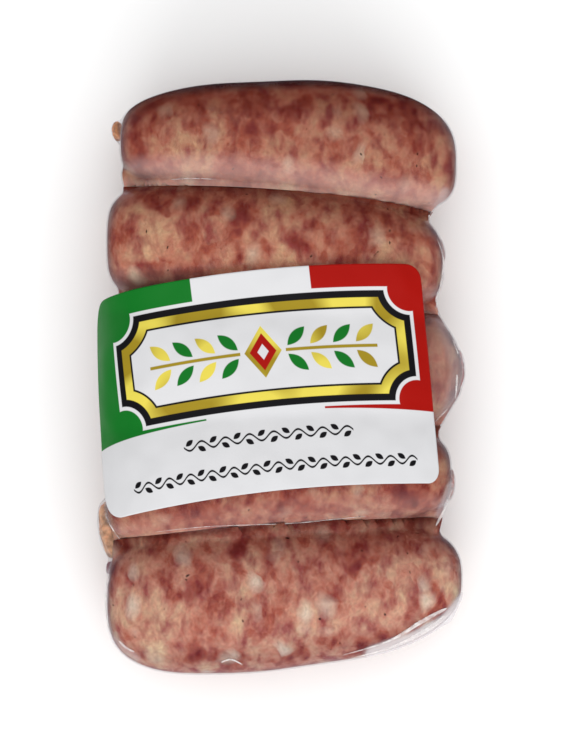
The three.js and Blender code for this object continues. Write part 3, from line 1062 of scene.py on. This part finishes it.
class SAUSAGEPACK_OT_tied_ends(bpy.types.Operator):
    """Model the tied and folded ends of the casings"""
    bl_idname = "sausage_pack.tied_ends"
    bl_label = "Tied ends"

    def execute(self, context):
        ball = unit_ball(*KNOB_BALL)
        for index, end in enumerate(TIED_ENDS):
            knob = copy_of(ball, f"tied_end_{index + 1}")

            def crumple(corner):
                """Folds and lumps of gathered casing."""
                angle = math.atan2(corner.z, corner.y)
                folds = FOLD * math.sin(FOLDS_ROUND * angle + FOLD_WANDER * math.sin(2 * angle + index))
                across = Vector((corner.x, corner.y * KNOB_LUMP_SCALE, corner.z * KNOB_LUMP_SCALE))
                lumps = noise.noise(across + Vector((index * KNOB_SEED_STEP, 0, 0)))
                return end_point(end, corner * (KNOB_SIZE + folds + KNOB_LUMP * lumps), MEAT_GAP)

            sculpt(knob, crumple)
            smooth(knob)
            casing = casing_material(f"gathered casing {index + 1}", srgb(end["tone"]))
            hand_over(knob, casing, PACK_NODE)
        bpy.data.objects.remove(ball)
        return {"FINISHED"}


def route_point(route, share):
    """The point at a share from 0 to 1 of the way along a smooth curve through a route's points."""
    place = share * (len(route) - 1)
    step = min(int(place), len(route) - 2)
    t = place - step
    near = (min(max(step + k, 0), len(route) - 1) for k in (-1, 0, 1, 2))
    before, start, end, after = (Vector(route[number]) for number in near)
    return (start * 2 + (end - before) * t + (before * 2 - start * 5 + end * 4 - after) * t * t
            + (start * 3 - before - end * 3 + after) * t ** 3) / 2


def milkiness(point):
    """How milky the film is at a point, in millimetres, beside the routes of MILKY."""
    most = 0.0
    for route, reach, amount in MILKY:
        for start, end in zip(route, route[1:]):
            if not min(start[1], end[1]) - reach < point.y < max(start[1], end[1]) + reach:
                continue
            start, end = Vector(start), Vector(end)
            along = end - start
            share = min(max((point.xy - start).dot(along) / along.length_squared, 0.0), 1.0)
            off = (point.xy - start - along * share).length
            most = max(most, amount * (1 - smooth_step(MILKY_CORE * reach, reach, off)))
    return most


class SAUSAGEPACK_OT_pleats(bpy.types.Operator):
    """Mark where the film stands off the meat, and press in the pleats where it gathered as it shrank"""
    bl_idname = "sausage_pack.pleats"
    bl_label = "Haze and pleats"

    def execute(self, context):
        self.mark_free_film(bpy.data.objects["film"])
        self.press_pleats(surface_tree(bpy.data.objects["film"]))
        return {"FINISHED"}

    def mark_free_film(self, film):
        """Stores, at each corner of the film, how far it stands off the meat and how wet it clings to it."""
        meats = [item for item in bpy.data.objects if item.name.startswith(("sausage_", "tied_end_"))]
        trees = [surface_tree(item) for item in meats]
        free, wet = (film.data.attributes.new(name, "FLOAT", "POINT") for name in ("free", "wet"))
        first_y = LINKS[0]["y"]
        for number, vertex in enumerate(film.data.vertices):
            nearest = min(tree.find_nearest(vertex.co)[3] for tree in trees)
            standing = smooth_step(FREE_FROM * MM, FREE_AT * MM, nearest)
            upper = smooth_step(*MILK_UPPER, vertex.normal.z)
            free.data[number].value = max(standing, upper * milkiness(vertex.co / MM))
            far = smooth_step(first_y * MM, (first_y + WET_FADE) * MM, vertex.co.y)
            wet.data[number].value = WET * far * smooth_step(*WET_SIDES, vertex.normal.y)

    def press_pleats(self, film):
        """Lays a thin strip of doubled film along each route, its white partly a painted highlight."""
        ball = unit_ball(*PLEAT_BALL)
        pleats = []
        for index, (route, widths) in enumerate(PLEATS_AND_HIGHLIGHTS):
            strip = copy_of(ball, f"pleat_{index + 1}")

            def lay(corner):
                """A place on the film: straight below the route, or the nearest where that runs past it."""
                share = (corner.x + 1) / 2
                plan = route_point(route, share)
                ahead = route_point(route, min(share + ROUTE_STEP, 1.0))
                ahead -= route_point(route, max(share - ROUTE_STEP, 0.0))
                spot, normal = film.ray_cast(Vector((plan.x, plan.y, SKY)) * MM, Vector((0, 0, -1)))[:2]
                if spot is None or spot.z < WEB_HEIGHTS[0] * MM / 2:
                    spot, normal = film.find_nearest(Vector((plan.x, plan.y, WEB_HEIGHTS[1])) * MM)[:2]
                across = normal.cross(Vector((ahead.x, ahead.y, 0)).normalized())
                width = widths[0] + (widths[1] - widths[0]) * share
                return spot + (across * corner.y * width + normal * corner.z * PLEAT_HEIGHT) * MM

            sculpt(strip, lay)
            pleats.append(strip)
        bpy.data.objects.remove(ball)
        joined = join_all(pleats, "film_pleats")
        smooth(joined)
        hand_over(joined, pleat_and_highlight_material(settings("pack_film")), PACK_NODE)


class SAUSAGEPACK_OT_label(bpy.types.Operator):
    """Model the printed label, bent over the sausages"""
    bl_idname = "sausage_pack.label"
    bl_label = "Label"

    def execute(self, context):
        deselect_all()
        bpy.ops.mesh.primitive_grid_add(x_subdivisions=LABEL_GRID[0], y_subdivisions=LABEL_GRID[1], size=2)
        label = named_primitive("label_sheet")
        label.data.uv_layers[0].name = "flat"
        for loop, uv in zip(label.data.loops, label.data.uv_layers["flat"].data):
            corner = label.data.vertices[loop.vertex_index].co
            half = (LABEL_WIDTH / 2, LABEL_HEIGHT / 2)
            uv.uv = round_corner(corner.x * half[0], corner.y * half[1], *half)
        sculpt(label, lambda corner: label_point(corner.x, corner.y, LABEL_THICKNESS / 2, 0.0))
        apply_modifier(label, "SOLIDIFY", thickness=SHEET_THICKNESS * MM, offset=0)
        smooth(label)
        hand_over(label, label_material(settings("pack_label")), LABEL_NODE)
        return {"FINISHED"}


def area_light(name, power, place, aim, size):
    deselect_all()
    bpy.ops.object.light_add(type="AREA", location=place)
    light = bpy.context.object
    light.name = name
    light.data.shape = "RECTANGLE"
    light.data.size, light.data.size_y = size
    light.data.energy = power
    light.rotation_euler = (Vector(aim) - Vector(place)).to_track_quat("-Z", "Y").to_euler()


class SAUSAGEPACK_OT_stage(bpy.types.Operator):
    """Lay the floor and set up the lights and the camera"""
    bl_idname = "sausage_pack.stage"
    bl_label = "Stage"

    def execute(self, context):
        stage = settings("pack_stage")
        deselect_all()
        bpy.ops.mesh.primitive_plane_add(size=FLOOR_SIZE, location=(0, 0, 0))
        floor = named_primitive("floor")
        floor.data.materials.append(paper_material(stage.floor))
        floor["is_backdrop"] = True

        area_light("key_light", stage.key_power, **KEY_LIGHT)
        area_light("fill_light", stage.fill_power, **FILL_LIGHT)

        world = bpy.data.worlds.new("soft studio")
        context.scene.world = world
        world.use_nodes = True
        background = world.node_tree.nodes["Background"]
        background.inputs["Color"].default_value = srgb("#FFFFFF")
        background.inputs["Strength"].default_value = stage.ambient

        bpy.ops.object.camera_add(location=(VIEW_CENTRE[0], VIEW_CENTRE[1], VIEW_HEIGHT), rotation=(0, 0, 0))
        camera = context.object
        camera.name = "camera"
        reach = IMAGE_HEIGHT / PIXELS_PER_MM * MM
        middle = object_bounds()[1].z / 2
        camera.data.sensor_fit = "VERTICAL"
        camera.data.sensor_height = SENSOR
        camera.data.lens = SENSOR * (VIEW_HEIGHT - middle) / reach
        context.scene.camera = camera
        context.scene.view_settings.view_transform = "Standard"
        return {"FINISHED"}


class SAUSAGEPACK_PT_panel(bpy.types.Panel):
    """Lists the pack's pieces and settings"""
    bl_label = "Sausage pack"
    bl_idname = "SAUSAGEPACK_PT_panel"
    bl_space_type = "VIEW_3D"
    bl_region_type = "UI"
    bl_category = "Sausage pack"

    def draw(self, context):
        for step in STEPS:
            self.layout.operator(step.bl_idname)
        for name, group in SETTINGS.items():
            box = self.layout.box()
            for key in group.__annotations__:
                box.prop(getattr(context.scene, name), key)


SETTINGS = {
    "pack_meat": MeatSettings,
    "pack_film": FilmSettings,
    "pack_label": LabelSettings,
    "pack_stage": StageSettings,
}
STEPS = (
    SAUSAGEPACK_OT_film,
    SAUSAGEPACK_OT_sausages,
    SAUSAGEPACK_OT_tied_ends,
    SAUSAGEPACK_OT_pleats,
    SAUSAGEPACK_OT_label,
    SAUSAGEPACK_OT_stage,
)


def register():
    for name, group in SETTINGS.items():
        bpy.utils.register_class(group)
        setattr(bpy.types.Scene, name, bpy.props.PointerProperty(type=group))
    for step in STEPS:
        bpy.utils.register_class(step)
    bpy.utils.register_class(SAUSAGEPACK_PT_panel)


def unregister():
    bpy.utils.unregister_class(SAUSAGEPACK_PT_panel)
    for step in reversed(STEPS):
        bpy.utils.unregister_class(step)
    for name, group in SETTINGS.items():
        delattr(bpy.types.Scene, name)
        bpy.utils.unregister_class(group)


def main():
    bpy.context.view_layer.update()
    register()
    for step in STEPS:
        section, name = step.bl_idname.split(".")
        getattr(getattr(bpy.ops, section), name)()


if __name__ == "__main__":
    main()
